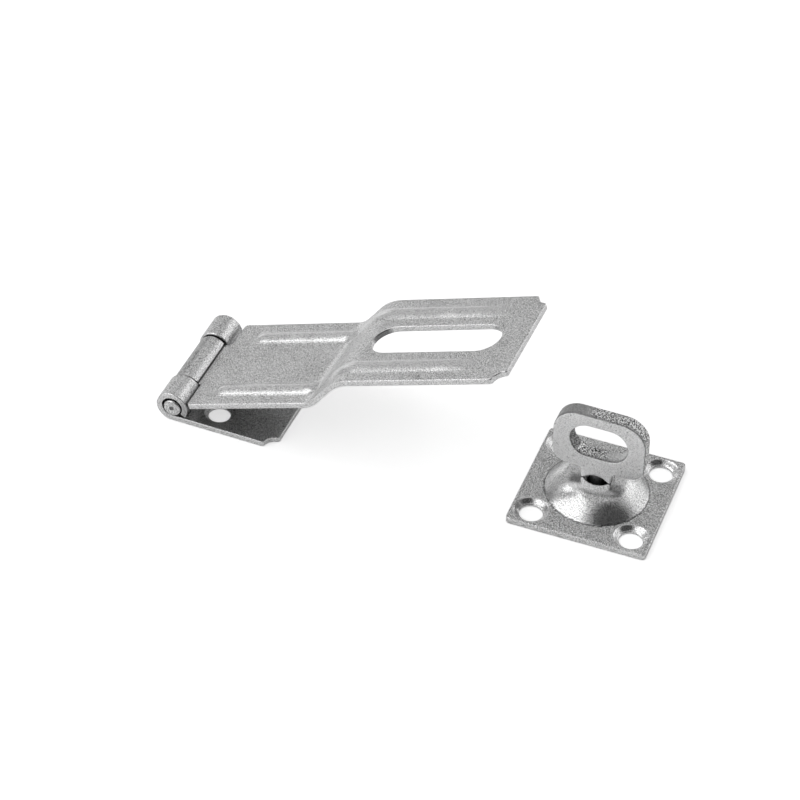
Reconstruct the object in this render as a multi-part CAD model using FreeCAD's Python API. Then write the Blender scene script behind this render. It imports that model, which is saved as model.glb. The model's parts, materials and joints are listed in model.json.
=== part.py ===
"""Swivel hasp: a hinged strap with a slot, and the swivel staple that it closes over.

The hasp is two folded sheets on one pin. The fixed leaf lies flat on the mounting surface and is
rolled into the two outer knuckles. The strap is rolled into the middle knuckle, carries two
pressed beads each side of its fold, steps up through a joggle and ends in a slotted, scalloped
plate. The staple is a square plate pressed up into a dome, with a flat stamped eye whose round
shank turns in the dome and is riveted over a washer underneath.

Frame, in millimetres: +X from the hinge towards the strap's free end, +Y along the hinge pin,
+Z up from the mounting surface. The origin is midway between the two screw holes beside the
hinge, on the mounting surface. The strap stands open by OPEN_ANGLE, as it lies at rest.
"""

import FreeCAD
import Part
import math
import os

V = FreeCAD.Vector

# Sheet and hinge
STRAP_WIDTH = 38.1
SHEET = 1.7
PIN_RADIUS = 2.62
FIXED_PLAY = 0.43         # radial play of the pin in the fixed leaf's knuckles
PIN_DROP = 0.33           # how far the pin lies below those knuckles' own centre
STRAP_PLAY = 0.06         # radial play of the strap's knuckle, which turns on the pin
PIN_PROUD = 0.3           # each pin end stands this far out of the knuckle's face
PIN_DIMPLE = 0.75         # radius of the centre mark in each pin end
PIN_CHAMFER = 0.3
MIDDLE_KNUCKLE = 19.05    # length of the strap's knuckle
KNUCKLE_GAP = 0.35        # running gap between neighbouring knuckles
LEAF_CUTBACK = 6.0        # from the pin to the leaf's edge in its notch
NOTCH_CORNER = 0.8        # inside radius of the notches
FIXED_ROLL_GAP = 0.2      # between the rolled end of an outer knuckle and its own leaf

# Fixed leaf
FIXED_LENGTH = 31.5       # from the pin to the leaf's end
SCALLOP = 3.4             # radius of the scooped corners
SCREW_PAIR_FROM_PIN = 11.65
SCREW_PAIR_SPACING = 24.6
END_SCREW_FROM_PIN = 23.6
LEAF_HOLE = 3.1           # screw hole radius in the fixed leaf
LEAF_SINK = 4.3           # countersink radius at the leaf's face
LEAF_SINK_DEPTH = 1.2

# Strap
OPEN_ANGLE = 20.3         # degrees between the strap and the fixed leaf
STRAP_LENGTH = 106.0      # from the pin to the free end
STRAP_RISE = 0.35         # middle of the sheet above the pin, next to the hinge
THROAT_RADIUS = 1.2       # middle of the sheet, where it turns down into the knuckle
STRAP_ROLL_END = 18.0     # degrees above level where the rolled end stops
STRAP_CUTBACK_FAR = 6.5   # from the pin to the strap's edges beside its knuckle, which
STRAP_CUTBACK_NEAR = 5.25  # are sheared a little out of square
STRAP_CORNER = 0.7
JOGGLE_HEIGHT = 7.27
JOGGLE_ANGLE = 35.0
LOWER_BEND = 8.0          # radii at the middle of the sheet
UPPER_BEND = 12.0
SLOT_LENGTH = 39.1
SLOT_WIDTH = 11.9
SLOT_TO_END = 7.8         # from the slot to the free end
JOGGLE_TO_SLOT = 0.2      # flat between the upper bend and the slot

# Pressed beads of the strap
BEAD_OFFSET = 12.3        # from the strap's centre line to the bead's centre
BEAD_WIDTH = 5.7
BEAD_HEIGHT = 0.75
LOWER_BEAD_FROM_PIN = 12.2
LOWER_BEAD_TO_JOGGLE = 0.6
UPPER_BEAD_TO_END = 10.0
UPPER_BEAD_SLOPE = 3.6    # how far the upper bead runs down the slope of the joggle

# Staple
CLOSING_GAP = 0.9         # between the closed strap's end and the eye, lengthways
STAPLE_TURN = 2.2         # degrees that the plate lies turned from the hasp's line
STAPLE_SIDE = 40.0
STAPLE_SHEET = 2.0
STAPLE_CORNER = 1.3
STAPLE_HOLE_SPACING = 28.6
STAPLE_HOLE = 3.25
STAPLE_SINK = 4.6
STAPLE_SINK_DEPTH = 1.5
PLATE_EDGE_ROLL = 0.35
DOME_RADIUS = 14.6        # where the dome leaves the plate
DOME_TOP = 7.5            # height of the flat land above the mounting surface
LAND_RADIUS = 7.2
DOME_FOOT = 0.8           # concave radius where the dome leaves the plate
LAND_ROLL = 1.6           # convex radius at the land's edge
DOME_SHEET = 1.9
LAND_SINK = 3.95          # countersink of the shank's hole
LAND_SINK_DEPTH = 1.25

# Swivel eye
EYE_TURN = -1.5           # degrees that the eye stands turned from the plate
EYE_THICKNESS = 4.7
EYE_WIDTH = 26.2
EYE_TOP = 29.45           # heights above the mounting surface
EYE_BOTTOM = 11.1
EYE_TOP_CORNER = 7.0
EYE_BOTTOM_CORNER = 4.3
EYE_HOLE_LENGTH = 16.5
EYE_HOLE_HEIGHT = 10.7
EYE_HOLE_HEIGHT_CENTRE = 20.65
EYE_EDGE_ROLL = 0.35
NECK_WIDTH = 9.0
NECK_FILLET = 1.0
EYE_LIFT = 0.05           # running gap between the neck and the land
SHANK_RADIUS = 2.3
SHANK_PLAY = 0.06
RELIEF_RADIUS = 4.05      # hollow turned into the neck's foot round the shank
RELIEF_HEIGHT = 1.45
WASHER_RADIUS = 5.4
WASHER_THICKNESS = 1.0
WASHER_PLAY = 0.08
RIVET_RADIUS = 3.7
RIVET_HEIGHT = 1.2

# Worked out
FIXED_BORE = PIN_RADIUS + FIXED_PLAY
FIXED_KNUCKLE = FIXED_BORE + SHEET
STRAP_BORE = PIN_RADIUS + STRAP_PLAY
STRAP_KNUCKLE = STRAP_BORE + SHEET
HALF_WIDTH = STRAP_WIDTH / 2
PIN_AXIS = V(-SCREW_PAIR_FROM_PIN, 0, FIXED_KNUCKLE - PIN_DROP)
SLOT_END = STRAP_LENGTH - SLOT_TO_END
SLOT_START = SLOT_END - SLOT_LENGTH
STAPLE_PLACE = V(PIN_AXIS.x + STRAP_LENGTH + CLOSING_GAP + EYE_WIDTH / 2, 0, 0)
CLEAR = 1.0               # how far a cutting tool reaches past what it cuts


def polar(angle):
    """Unit vector in the XZ plane at an angle in degrees from +X towards +Z."""
    a = math.radians(angle)
    return V(math.cos(a), 0, math.sin(a))


def folded_sheet(start, heading, moves, thickness, width):
    """Sheet of one thickness whose middle line starts at a point and follows runs and bends.

    A move is ("run", length) or ("bend", radius, angle), where a positive angle turns from +X
    towards +Z. The sheet's width is centred on y = 0.
    """
    sides = {1: [], -1: []}
    point = V(start)
    ends = []

    def rim(at, direction, side):
        return at + polar(direction + 90) * (side * thickness / 2)

    for move in moves:
        if move[0] == "run":
            steps = [(point + polar(heading) * move[1], heading)]
            middles = [None]
        else:
            _, radius, angle = move
            turn = math.copysign(90, angle)
            centre = point + polar(heading + turn) * radius
            pieces = 2 if abs(angle) > 170 else 1
            steps = []
            middles = []
            for n in range(pieces):
                half = heading + angle * (n + 0.5) / pieces
                whole = heading + angle * (n + 1) / pieces
                middles.append((centre - polar(half + turn) * radius, half))
                steps.append((centre - polar(whole + turn) * radius, whole))
        for (there, towards), middle in zip(steps, middles):
            for side in sides:
                a = rim(point, heading, side)
                b = rim(there, towards, side)
                if middle is None:
                    sides[side].append(Part.LineSegment(a, b).toShape())
                else:
                    sides[side].append(Part.Arc(a, rim(*middle, side), b).toShape())
            if not ends:
                ends.append(Part.LineSegment(rim(point, heading, 1), rim(point, heading, -1)).toShape())
            point, heading = there, towards
    ends.append(Part.LineSegment(rim(point, heading, 1), rim(point, heading, -1)).toShape())
    outline = sides[1] + [ends[1]] + sides[-1][::-1] + [ends[0]]
    face = Part.Face(Part.Wire(Part.__sortEdges__(outline)))
    face.translate(V(0, -width / 2, 0))
    return face.extrude(V(0, width, 0))


def block(x0, x1, y0, y1, z0, z1):
    return Part.makeBox(x1 - x0, y1 - y0, z1 - z0, V(x0, y0, z0))


def softened(shape, radius, test):
    """Fillets every edge whose ends and middle all pass the test."""
    edges = []
    for edge in shape.Edges:
        first, last = edge.ParameterRange
        points = [edge.valueAt(first + (last - first) * share) for share in (0, 0.5, 1)]
        if all(test(p) for p in points):
            edges.append(edge)
    return shape.makeFillet(radius, edges)


def countersunk(x, y, face, depth, hole, sink, sink_depth):
    """Cutter for a screw hole whose countersink opens at height face, in sheet of that depth."""
    bore = Part.makeCylinder(hole, depth + 2 * CLEAR, V(x, y, face - depth - CLEAR))
    cone = Part.makeCone(hole, sink, sink_depth, V(x, y, face - sink_depth))
    mouth = Part.makeCylinder(sink, CLEAR, V(x, y, face))
    return bore.fuse([cone, mouth])


def notch(x0, x1, y0, y1, z0, z1):
    """Block with rounded upright edges, for cutting a punched notch."""
    tool = block(x0, x1, y0, y1, z0, z1)
    upright = [e for e in tool.Edges if abs(e.tangentAt(e.FirstParameter).z) > 0.9]
    return tool.makeFillet(NOTCH_CORNER, upright)


def scallops(end, z0, z1):
    """Cutters that scoop the two corners of a sheet's end."""
    return [Part.makeCylinder(SCALLOP, z1 - z0, V(end, side * HALF_WIDTH, z0)) for side in (1, -1)]


def fixed_leaf():
    """Flat leaf with its end rolled up and over the pin, twice, with a notch between."""
    roll = FIXED_BORE + SHEET / 2
    gap_angle = math.degrees(math.asin((FIXED_BORE - FIXED_ROLL_GAP) / FIXED_KNUCKLE))
    pin_x = PIN_AXIS.x
    sheet = folded_sheet(
        V(pin_x + FIXED_LENGTH, 0, SHEET / 2),
        180,
        [("run", FIXED_LENGTH), ("bend", roll, -(270 + gap_angle))],
        SHEET,
        STRAP_WIDTH,
    )
    middle = MIDDLE_KNUCKLE / 2 + KNUCKLE_GAP
    left = pin_x - FIXED_KNUCKLE - CLEAR
    tools = [notch(left, pin_x + LEAF_CUTBACK, -middle, middle, -CLEAR, 2 * FIXED_KNUCKLE + CLEAR)]
    tools += scallops(pin_x + FIXED_LENGTH, -CLEAR, SHEET + CLEAR)
    holes = [(SCREW_PAIR_FROM_PIN, s * SCREW_PAIR_SPACING / 2) for s in (1, -1)]
    holes.append((END_SCREW_FROM_PIN, 0))
    for x, y in holes:
        tools.append(countersunk(pin_x + x, y, SHEET, SHEET, LEAF_HOLE, LEAF_SINK, LEAF_SINK_DEPTH))
    return sheet.cut(tools)


def hinge_pin():
    """Plain pin with chamfered, centre-marked ends, lying on the bottom of the knuckles."""
    half = HALF_WIDTH + PIN_PROUD
    profile = [
        V(0, -half + PIN_DIMPLE / 2, 0),
        V(PIN_DIMPLE, -half, 0),
        V(PIN_RADIUS - PIN_CHAMFER, -half, 0),
        V(PIN_RADIUS, -half + PIN_CHAMFER, 0),
        V(PIN_RADIUS, half - PIN_CHAMFER, 0),
        V(PIN_RADIUS - PIN_CHAMFER, half, 0),
        V(PIN_DIMPLE, half, 0),
        V(0, half - PIN_DIMPLE / 2, 0),
    ]
    face = Part.Face(Part.makePolygon(profile + [profile[0]]))
    pin = face.revolve(V(0, 0, 0), V(0, 1, 0), 360)
    pin.translate(PIN_AXIS)
    return pin


def joggle():
    """Length of the joggle's straight slope, and where the joggle starts and ends from the pin."""
    sine = math.sin(math.radians(JOGGLE_ANGLE))
    cosine = math.cos(math.radians(JOGGLE_ANGLE))
    bends = LOWER_BEND + UPPER_BEND
    slope = (JOGGLE_HEIGHT - bends * (1 - cosine)) / sine
    end = SLOT_START - JOGGLE_TO_SLOT
    return slope, end - bends * sine - slope * cosine, end


def strap_sheet():
    """The strap's folded sheet, from its free end to the end of its rolled knuckle."""
    slope, joggle_start, joggle_end = joggle()
    roll = STRAP_BORE + SHEET / 2
    reach = roll + THROAT_RADIUS
    throat = math.degrees(math.acos((THROAT_RADIUS - STRAP_RISE) / reach))
    throat_x = reach * math.sin(math.radians(throat))
    moves = [
        ("run", STRAP_LENGTH - joggle_end),
        ("bend", UPPER_BEND, JOGGLE_ANGLE),
        ("run", slope),
        ("bend", LOWER_BEND, -JOGGLE_ANGLE),
        ("run", joggle_start - throat_x),
        ("bend", THROAT_RADIUS, throat),
        ("bend", roll, -(270 + throat - STRAP_ROLL_END)),
    ]
    return folded_sheet(V(STRAP_LENGTH, 0, STRAP_RISE + JOGGLE_HEIGHT), 180, moves, SHEET, STRAP_WIDTH)


def bead_section(arc_radius, half_width, height):
    """Face of a bead across its length, in the YZ plane: an arc standing on a chord at z = 0.

    It reaches a little below the chord, so that it joins or opens the sheet it lies on.
    """
    root = min(0.4 * SHEET, 0.5)
    a = V(0, -half_width, 0)
    b = V(0, half_width, 0)
    edges = [
        Part.Arc(a, V(0, 0, height), b).toShape(),
        Part.LineSegment(b, V(0, half_width, -root)).toShape(),
        Part.LineSegment(V(0, half_width, -root), V(0, -half_width, -root)).toShape(),
        Part.LineSegment(V(0, -half_width, -root), a).toShape(),
    ]
    return Part.Face(Part.Wire(edges))


def bead_end(section):
    """The rounded end of a bead: half of its section turned about the upright through its middle."""
    tall = BEAD_HEIGHT + SHEET
    half = section.common(block(-CLEAR, CLEAR, 0, BEAD_WIDTH, -tall, tall))
    return half.revolve(V(0, 0, 0), V(0, 0, 1), 360)


def beads(section, level, bend_radius):
    """The strap's four beads on the face at that level above the sheet's middle line.

    Each lower bead is straight. Each upper bead starts on the slope of the joggle, follows the
    bend, whose radius at this face is given, and runs along the slotted plate.
    """
    _, joggle_start, bend_x = joggle()
    low = STRAP_RISE + level
    high = low + JOGGLE_HEIGHT
    end = bead_end(section)
    shapes = []

    def at(shape, x, z, tilt=0.0):
        placed = shape.copy()
        placed.rotate(V(0, 0, 0), V(0, 1, 0), -tilt)
        placed.translate(V(x, 0, z))
        return placed

    lower_start = LOWER_BEAD_FROM_PIN + BEAD_WIDTH / 2
    lower_end = joggle_start - LOWER_BEAD_TO_JOGGLE - BEAD_WIDTH / 2
    lower = [
        at(section.extrude(V(lower_end - lower_start, 0, 0)), lower_start, low),
        at(end, lower_start, low),
        at(end, lower_end, low),
    ]
    upper_end = STRAP_LENGTH - UPPER_BEAD_TO_END - BEAD_WIDTH / 2
    pivot = V(bend_x, 0, high - bend_radius)
    round_bend = at(section, bend_x, high).revolve(pivot, V(0, 1, 0), -JOGGLE_ANGLE)
    foot = pivot + polar(90 + JOGGLE_ANGLE) * bend_radius
    slope_end = foot - polar(JOGGLE_ANGLE) * UPPER_BEAD_SLOPE
    upper = [
        at(section.extrude(V(upper_end - bend_x, 0, 0)), bend_x, high),
        at(end, upper_end, high),
        round_bend,
        at(section.extrude(V(UPPER_BEAD_SLOPE, 0, 0)), slope_end.x, slope_end.z, JOGGLE_ANGLE),
        at(end, slope_end.x, slope_end.z, JOGGLE_ANGLE),
    ]
    for side in (1, -1):
        for group in (lower, upper):
            bead = group[0].fuse(group[1:])
            bead.translate(V(0, side * BEAD_OFFSET, 0))
            shapes.append(bead)
    return shapes


def strap():
    """Hinged strap: rolled knuckle, joggle, slot, scooped end, and pressed beads."""
    body = strap_sheet()
    high = STRAP_RISE + JOGGLE_HEIGHT + SHEET + CLEAR
    low = -STRAP_KNUCKLE - CLEAR
    left = -STRAP_KNUCKLE - CLEAR
    middle = MIDDLE_KNUCKLE / 2
    tools = []
    tools.append(notch(left, STRAP_CUTBACK_FAR, middle, HALF_WIDTH + 2 * CLEAR, low, high))
    tools.append(notch(left, STRAP_CUTBACK_NEAR, -HALF_WIDTH - 2 * CLEAR, -middle, low, high))
    slot_radius = SLOT_WIDTH / 2
    slot_low = STRAP_RISE - SHEET
    slot = block(SLOT_START + slot_radius, SLOT_END - slot_radius, -slot_radius, slot_radius, slot_low, high)
    ends = [
        Part.makeCylinder(slot_radius, high - slot_low, V(x, 0, slot_low))
        for x in (SLOT_START + slot_radius, SLOT_END - slot_radius)
    ]
    tools.append(slot.fuse(ends))
    tools += scallops(STRAP_LENGTH, slot_low, high)
    body = body.cut(tools)
    corner = [
        e for e in body.Edges
        if abs(e.Length - SHEET) < 1e-3
        and e.CenterOfMass.x < STRAP_CUTBACK_FAR + 1e-3
        and abs(abs(e.CenterOfMass.y) - HALF_WIDTH) < 1e-3
    ]
    body = body.makeFillet(STRAP_CORNER, corner)
    arc_radius = (BEAD_WIDTH**2 / 4 + BEAD_HEIGHT**2) / (2 * BEAD_HEIGHT)
    inner_half = math.sqrt(2 * (arc_radius - SHEET) * BEAD_HEIGHT - BEAD_HEIGHT**2)
    outside = bead_section(arc_radius, BEAD_WIDTH / 2, BEAD_HEIGHT)
    inside = bead_section(arc_radius - SHEET, inner_half, BEAD_HEIGHT)
    body = body.fuse(beads(outside, SHEET / 2, UPPER_BEND + SHEET / 2))
    body = body.cut(beads(inside, -SHEET / 2, UPPER_BEND - SHEET / 2))
    body.rotate(V(0, 0, 0), V(0, 1, 0), -OPEN_ANGLE)
    body.translate(PIN_AXIS)
    return body


def staple_base():
    """Square plate pressed up into a flat-topped dome, with four countersunk holes."""
    half = STAPLE_SIDE / 2
    plate = block(-half, half, -half, half, 0, STAPLE_SHEET)
    upright = [e for e in plate.Edges if abs(e.tangentAt(e.FirstParameter).z) > 0.9]
    plate = plate.makeFillet(STAPLE_CORNER, upright)
    plate = softened(plate, PLATE_EDGE_ROLL, lambda p: abs(p.z - STAPLE_SHEET) < 1e-6)
    rise = DOME_TOP - STAPLE_SHEET
    drop = (DOME_RADIUS**2 - LAND_RADIUS**2 - rise**2) / (2 * rise)
    sphere = math.hypot(DOME_RADIUS, drop)
    centre = V(0, 0, STAPLE_SHEET - drop)
    outer = Part.makeSphere(sphere, centre)
    outer = outer.common(Part.makeCylinder(2 * DOME_RADIUS, DOME_TOP, V(0, 0, 0)))
    body = softened(
        plate.fuse(outer).removeSplitter(),
        DOME_FOOT,
        lambda p: abs(p.z - STAPLE_SHEET) < 1e-3 and abs(math.hypot(p.x, p.y) - DOME_RADIUS) < 1e-3,
    )
    body = softened(
        body,
        LAND_ROLL,
        lambda p: abs(p.z - DOME_TOP) < 1e-3 and abs(math.hypot(p.x, p.y) - LAND_RADIUS) < 1e-3,
    )
    inner = Part.makeSphere(sphere - DOME_SHEET, centre)
    hollow = Part.makeCylinder(2 * DOME_RADIUS, DOME_TOP - DOME_SHEET + CLEAR, V(0, 0, -CLEAR))
    tools = [inner.common(hollow)]
    tools.append(
        countersunk(0, 0, DOME_TOP, DOME_SHEET, SHANK_RADIUS + SHANK_PLAY, LAND_SINK, LAND_SINK_DEPTH)
    )
    step = STAPLE_HOLE_SPACING / 2
    for x in (-step, step):
        for y in (-step, step):
            tools.append(
                countersunk(x, y, STAPLE_SHEET, STAPLE_SHEET, STAPLE_HOLE, STAPLE_SINK, STAPLE_SINK_DEPTH)
            )
    return body.cut(tools)


def eye_outline():
    """Face of the eye's loop and neck in the XZ plane, without the hole."""
    half = EYE_WIDTH / 2
    loop = block(-half, half, 0, EYE_THICKNESS, EYE_BOTTOM, EYE_TOP)
    for height, radius in ((EYE_TOP, EYE_TOP_CORNER), (EYE_BOTTOM, EYE_BOTTOM_CORNER)):
        loop = softened(loop, radius, lambda p: abs(p.z - height) < 1e-6 and abs(abs(p.x) - half) < 1e-6)
    foot = DOME_TOP + EYE_LIFT
    neck = block(-NECK_WIDTH / 2, NECK_WIDTH / 2, 0, EYE_THICKNESS, foot, EYE_BOTTOM + CLEAR)
    body = loop.fuse(neck).removeSplitter()
    return softened(
        body,
        NECK_FILLET,
        lambda p: abs(p.z - EYE_BOTTOM) < 1e-6 and abs(abs(p.x) - NECK_WIDTH / 2) < 1e-6,
    )


def swivel_eye():
    """Stamped eye with a round shank through the dome, riveted over underneath."""
    body = eye_outline()
    radius = EYE_HOLE_HEIGHT / 2
    reach = EYE_HOLE_LENGTH / 2 - radius
    depth = EYE_THICKNESS + 2 * CLEAR
    z = EYE_HOLE_HEIGHT_CENTRE
    hole = block(-reach, reach, -CLEAR, EYE_THICKNESS + CLEAR, z - radius, z + radius)
    ends = [Part.makeCylinder(radius, depth, V(x, -CLEAR, z), V(0, 1, 0)) for x in (-reach, reach)]
    body = body.cut(hole.fuse(ends))
    foot = DOME_TOP + EYE_LIFT
    body = softened(
        body,
        EYE_EDGE_ROLL,
        lambda p: min(abs(p.y), abs(p.y - EYE_THICKNESS)) < 1e-6 and p.z > foot + 1e-6,
    )
    body.translate(V(0, -EYE_THICKNESS / 2, 0))
    relief = Part.makeCone(RELIEF_RADIUS, SHANK_RADIUS, RELIEF_HEIGHT, V(0, 0, foot))
    washer_top = DOME_TOP - DOME_SHEET - EYE_LIFT
    rivet_top = washer_top - WASHER_THICKNESS
    rivet_low = rivet_top - RIVET_HEIGHT
    shank = Part.makeCylinder(SHANK_RADIUS, foot + RELIEF_HEIGHT + CLEAR - rivet_top, V(0, 0, rivet_top))
    head = Part.makeCylinder(RIVET_RADIUS, RIVET_HEIGHT, V(0, 0, rivet_low))
    head = softened(head, RIVET_HEIGHT * 0.6, lambda p: abs(p.z - rivet_low) < 1e-6)
    return body.cut(relief).fuse([shank, head]).removeSplitter()


def washer():
    """Flat washer between the dome's underside and the riveted head."""
    top = DOME_TOP - DOME_SHEET - EYE_LIFT
    low = top - WASHER_THICKNESS
    ring = Part.makeCylinder(WASHER_RADIUS, WASHER_THICKNESS, V(0, 0, low))
    return ring.cut(Part.makeCylinder(SHANK_RADIUS + WASHER_PLAY, WASHER_THICKNESS + 2, V(0, 0, low - 1)))


def on_staple(shape, turn):
    """Moves a staple piece from the staple's own centre to where the staple lies."""
    shape.rotate(V(0, 0, 0), V(0, 0, 1), turn)
    shape.translate(STAPLE_PLACE)
    return shape


def main():
    os.makedirs("parts", exist_ok=True)
    nodes = {
        "fixed_leaf": fixed_leaf(),
        "hinge_pin": hinge_pin(),
        "hasp_strap": strap(),
        "staple_base": on_staple(staple_base(), STAPLE_TURN),
        "swivel_eye": on_staple(swivel_eye(), STAPLE_TURN + EYE_TURN),
        "washer": on_staple(washer(), STAPLE_TURN + EYE_TURN),
    }
    for name, shape in nodes.items():
        solids = len(shape.Solids)
        box = shape.BoundBox
        print(
            f"{name}: {solids} solid, valid {shape.isValid()}, {shape.Volume:.1f} mm3, "
            f"x {box.XMin:.2f} {box.XMax:.2f}, y {box.YMin:.2f} {box.YMax:.2f}, z {box.ZMin:.2f} {box.ZMax:.2f}"
        )
        shape.exportStep(f"parts/{name}.step")


main()
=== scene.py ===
"""Finish and studio for the swivel hasp: satin zinc plate over stamped, rolled and pressed sheet."""

import json
import math

import bmesh
import bpy
import numpy as np
from bpy.props import FloatProperty, FloatVectorProperty, PointerProperty
from bpy.types import Operator, Panel, PropertyGroup
from mathutils import Matrix, Vector


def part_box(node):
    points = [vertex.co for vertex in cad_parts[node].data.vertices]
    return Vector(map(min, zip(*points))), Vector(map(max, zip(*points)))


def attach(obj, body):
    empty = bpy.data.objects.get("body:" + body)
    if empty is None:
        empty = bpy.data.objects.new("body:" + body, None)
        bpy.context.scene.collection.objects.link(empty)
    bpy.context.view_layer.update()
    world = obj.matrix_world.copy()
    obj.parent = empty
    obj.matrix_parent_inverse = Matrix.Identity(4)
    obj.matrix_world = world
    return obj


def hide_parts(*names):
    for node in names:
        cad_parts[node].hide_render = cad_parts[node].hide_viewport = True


bl_info = {
    "name": "Swivel hasp finish",
    "version": (1, 0, 0),
    "blender": (4, 5, 0),
    "location": "View3D > Sidebar > Hasp",
    "description": "Dresses the swivel hasp in zinc plate and sets up its studio",
    "category": "Object",
}

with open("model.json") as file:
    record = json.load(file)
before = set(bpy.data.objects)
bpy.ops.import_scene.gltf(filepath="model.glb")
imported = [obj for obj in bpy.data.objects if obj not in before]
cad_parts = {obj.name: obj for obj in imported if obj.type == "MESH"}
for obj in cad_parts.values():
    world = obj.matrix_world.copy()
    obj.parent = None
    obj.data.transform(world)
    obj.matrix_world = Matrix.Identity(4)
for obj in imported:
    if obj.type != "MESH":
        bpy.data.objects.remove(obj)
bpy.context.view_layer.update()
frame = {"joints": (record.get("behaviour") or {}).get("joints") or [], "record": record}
JOINTS = {joint["name"]: np.array(joint["pos_m"]) for joint in frame["joints"]}
PIN = JOINTS["strap_hinge"]
STAPLE_FOOT = JOINTS["eye_swivel"] * (1, 1, 0)
MM = 0.001
PER_MM = 1 / MM


# Settings


def length(name, description, default):
    """Setting for a length, in metres."""
    return FloatProperty(name=name, description=description, default=default, unit="LENGTH")


def angle(name, description, degrees):
    """Setting for an angle, given in degrees and kept in radians."""
    default = math.radians(degrees)
    return FloatProperty(name=name, description=description, default=default, subtype="ANGLE")


class HaspSheetSettings(PropertyGroup):
    """Sizes of the two folded sheets."""

    width: length("Width", "Width of strap and leaf", 38.1 * MM)
    sheet: length("Sheet", "Thickness of the sheet", 1.7 * MM)
    open_angle: angle("Open angle", "Angle between strap and leaf at rest", 20.3)
    strap_bore: length("Strap bore", "Bore radius of the strap's knuckle", 2.68 * MM)
    leaf_bore: length("Leaf bore", "Bore radius of the fixed leaf's knuckles", 3.05 * MM)
    knuckle: length("Middle knuckle", "Length of the strap's knuckle", 19.05 * MM)
    leaf_cutback: length("Leaf cutback", "From the pin to the leaf's edge in its notch", 6 * MM)
    far_cutback: length("Far cutback", "From the pin to the strap's far edge by its knuckle", 6.5 * MM)
    near_cutback: length("Near cutback", "From the pin to the strap's near edge by its knuckle", 5.25 * MM)
    scallop: length("Scallop", "Radius of the scooped corners", 3.4 * MM)
    edge_roll: length("Edge roll", "Rounding along the strap's sheared edges", 0.28 * MM)
    cell: length("Cell", "Width of one cell of the surface grid", 0.42 * MM)


class HaspStapleSettings(PropertyGroup):
    """Sizes of the staple's plate and eye."""

    side: length("Side", "Side of the square plate", 40 * MM)
    sheet: length("Sheet", "Thickness of the plate", 2 * MM)
    plate_turn: angle("Plate turn", "Turn of the plate from the hasp's line", 1.4)
    eye_turn: angle("Eye turn", "Turn of the eye from the hasp's line", 0.7)
    eye_lean: angle("Eye lean", "Lean of the eye towards the hinge", 1.2)
    eye_thickness: length("Eye thickness", "Thickness of the stamped eye", 4.7 * MM)
    cell: length("Cell", "Width of one cell of the surface grid", 0.34 * MM)


class HaspFinishSettings(PropertyGroup):
    """Colour and texture of the zinc plate."""

    zinc: FloatVectorProperty(
        name="Zinc", description="Colour of the satin plate",
        default=(0.72, 0.72, 0.722), size=3, subtype="COLOR",
    )
    grain: FloatProperty(
        name="Grain", description="How much the fine speckle lightens and darkens the plate",
        default=1.35, min=0.0,
    )


class HaspStageSettings(PropertyGroup):
    """Camera angles, distance and lens."""

    azimuth: angle("Azimuth", "Camera's turn from the hasp's side", 20.25)
    elevation: angle("Elevation", "Camera's height angle", 41.24)
    roll: angle("Roll", "Camera's turn about its own axis", 2.42)
    distance: length("Distance", "From the camera to what it looks at", 0.8397)
    look_at: FloatVectorProperty(
        name="Look at", description="Point on the floor at the middle of the picture",
        default=(PIN[0] + 55.64 * MM, PIN[1] + 14.96 * MM, 0.0), size=3, subtype="TRANSLATION",
    )
    lens: FloatProperty(name="Lens", description="Focal length in millimetres", default=132.5)


# Surfaces

LEAST_SLOPE = 1e-6
CREASE_CATCH = 0.5
RIM_CATCH = 0.55
LEAST_INSET = 0.02 * MM
TOP_TURNS = np.radians([30.0, 60.0, 90.0])
WALL_SHARES = (0.3, 0.65)
UNDER_TURNS = np.radians([90.0, 45.0, 0.0])
STEEP = 1.0
ROUNDED = 0.5
PAST_END = 10 * MM
DOUBLES = 0.0005 * MM


def smooth_max(*fields, blend=0.25 * MM):
    """Largest of several signed distances, with its corners rounded.

    Where two lie within the blend of each other, the larger gets the square of what their gap lacks
    of the blend, over four blends.
    """
    result = fields[0]
    for other in fields[1:]:
        gap = np.abs(result - other)
        ease = np.maximum(blend - gap, 0.0) / blend
        result = np.maximum(result, other) + ease * ease * blend / 4
    return result


def disc(s, y, centre_s, centre_y, radius):
    """Signed distance to a disc: the distance from its centre less its radius."""
    return np.hypot(s - centre_s, y - centre_y) - radius


def stadium(s, y, start, end, width):
    """Signed distance to a slot with round ends: from its middle line, less half its width."""
    radius = width / 2
    middle = np.clip(s, start + radius, end - radius)
    return np.hypot(s - middle, y) - radius


def rounded_box(s, y, half_s, half_y, radius):
    """Signed distance to a rectangle about zero: from one smaller by its corners' radius, less that."""
    ds = np.abs(s) - (half_s - radius)
    dy = np.abs(y) - (half_y - radius)
    return np.hypot(np.maximum(ds, 0), np.maximum(dy, 0)) + np.minimum(np.maximum(ds, dy), 0) - radius


def gradient(field, s, y, step=0.01 * MM):
    """Slope of a field on the sheet: its change over a step either way, over two steps."""
    gs = (field(s + step, y) - field(s - step, y)) / (2 * step)
    gy = (field(s, y + step) - field(s, y - step)) / (2 * step)
    return gs, gy


def pulled_to(field, s, y, near, level=0.0, rounds=4):
    """Moves the near points along the field's slope by what they miss of the level over its square."""
    s = s.copy()
    y = y.copy()
    for _ in range(rounds):
        gs, gy = gradient(field, s[near], y[near])
        size = np.maximum(gs * gs + gy * gy, LEAST_SLOPE)
        miss = (field(s[near], y[near]) - level) / size
        s[near] -= miss * gs
        y[near] -= miss * gy
    return s, y


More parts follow.
